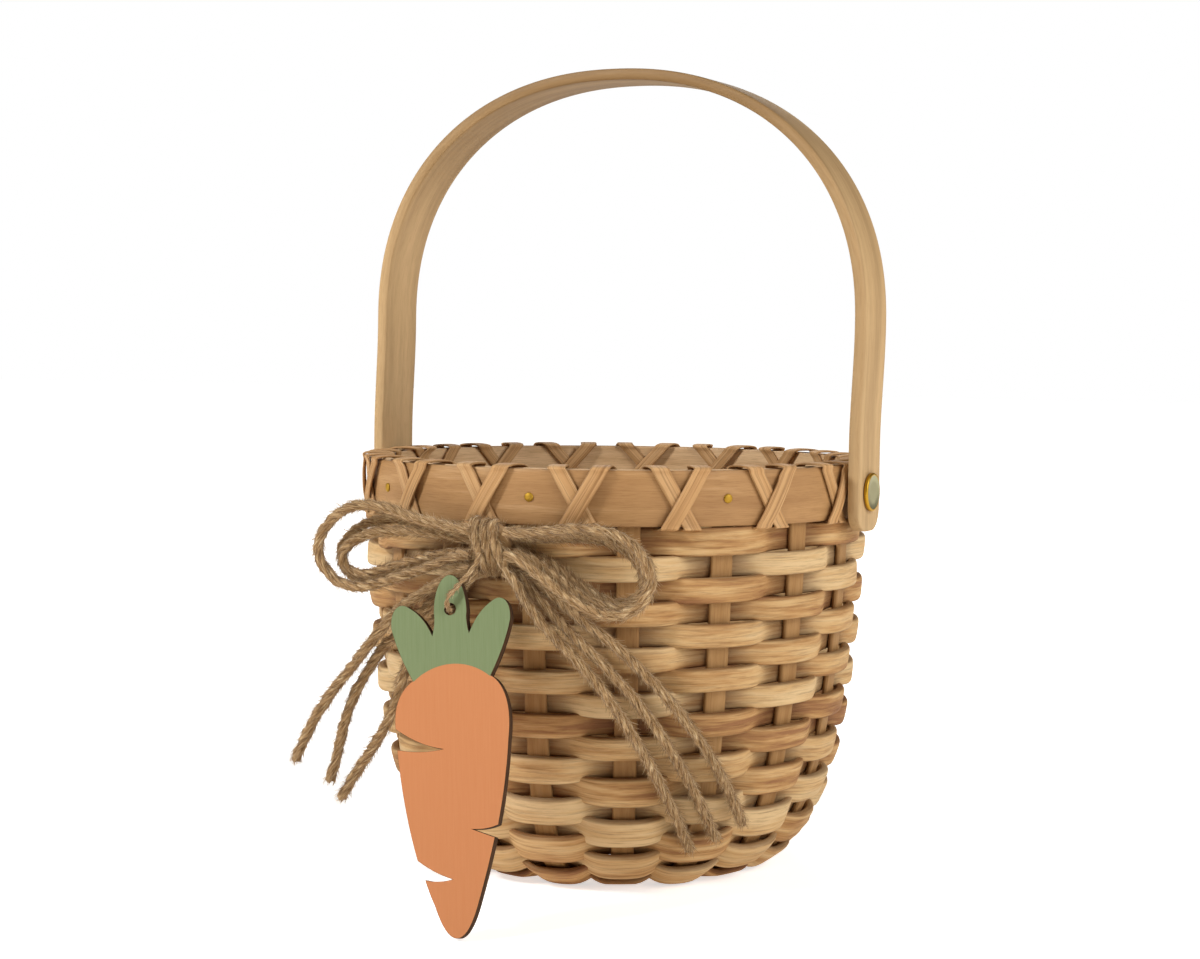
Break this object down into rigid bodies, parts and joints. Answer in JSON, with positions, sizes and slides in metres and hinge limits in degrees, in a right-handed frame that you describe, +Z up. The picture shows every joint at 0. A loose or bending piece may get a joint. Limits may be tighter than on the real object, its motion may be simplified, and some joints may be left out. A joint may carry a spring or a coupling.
{
  "type": "wooden basket",
  "caption": "Round basket woven from wood splints over upright stakes, with a lashed rim, a riveted swing handle, a twine bow and a hanging carrot-shaped tag.",
  "frame": {"origin": "On the standing surface, under the middle of the round base.", "axes": "+Z up, X along the axis of the two handle rivets, -Y to the front, where the bow and the tag are."},
  "size_m": [0.1654, 0.1915, 0.2383],
  "materials": {
    "weaver_wood": "oiled wood splint, fine grain along the strip",
    "stake_wood": "flat wood splint, darker than the weavers",
    "hoop_wood": "bent wood strip, smooth, satin",
    "cane": "flat striped cane",
    "handle_wood": "pale bent beech, sanded",
    "brass": "plain brass",
    "twine": "three ply jute, hairy",
    "painted_wood": "plywood with a flat orange and green paint and dark cut edges"
  },
  "bodies": {
    "basket": {"splint_1": "stake_wood", "splint_2": "stake_wood", "splint_3": "stake_wood", "splint_4": "stake_wood", "splint_5": "stake_wood", "splint_6": "stake_wood", "splint_7": "stake_wood", "splint_8": "stake_wood", "splint_short": "stake_wood", "weaver_01": "weaver_wood", "weaver_02": "weaver_wood", "weaver_03": "weaver_wood", "weaver_04": "weaver_wood", "weaver_05": "weaver_wood", "weaver_06": "weaver_wood", "weaver_07": "weaver_wood", "weaver_08": "weaver_wood", "weaver_09": "weaver_wood", "weaver_10": "weaver_wood", "weaver_11": "weaver_wood", "weaver_12": "weaver_wood", "weaver_13": "weaver_wood", "weaver_14": "weaver_wood", "outer_rim_hoop": "hoop_wood", "inner_rim_hoop": "hoop_wood", "lashing_right": "cane", "lashing_left": "cane", "rim_nail_1": "brass", "rim_nail_2": "brass", "rim_nail_3": "brass", "rim_nail_4": "brass", "rim_nail_5": "brass", "rim_nail_6": "brass", "rim_nail_7": "brass", "rim_nail_8": "brass", "rivet_right": "brass", "rivet_left": "brass", "bow_knot": "twine", "bow_loop_left_1": "twine", "bow_loop_left_2": "twine", "bow_loop_left_3": "twine", "bow_loop_right_1": "twine", "bow_loop_right_2": "twine", "bow_loop_right_3": "twine", "bow_tail_left_1": "twine", "bow_tail_left_2": "twine", "bow_tail_left_3": "twine", "bow_tail_right_1": "twine", "bow_tail_right_2": "twine", "bow_tail_right_3": "twine"},
    "handle": {"handle": "handle_wood"},
    "tag": {"tag_hanger": "twine", "carrot_tag": "painted_wood"}
  },
  "joints": [
    {"name": "handle_swing", "type": "hinge", "parent": "basket", "child": "handle", "pos_m": [0, 0, 0.11425], "axis": [1, 0, 0], "range_deg": [-140, 90]},
    {"name": "tag_swing", "type": "hinge", "parent": "basket", "child": "tag", "pos_m": [0.0014, -0.0879, 0.0993], "axis": [-1, 0, 0], "range_deg": [0, 60]}
  ]
}
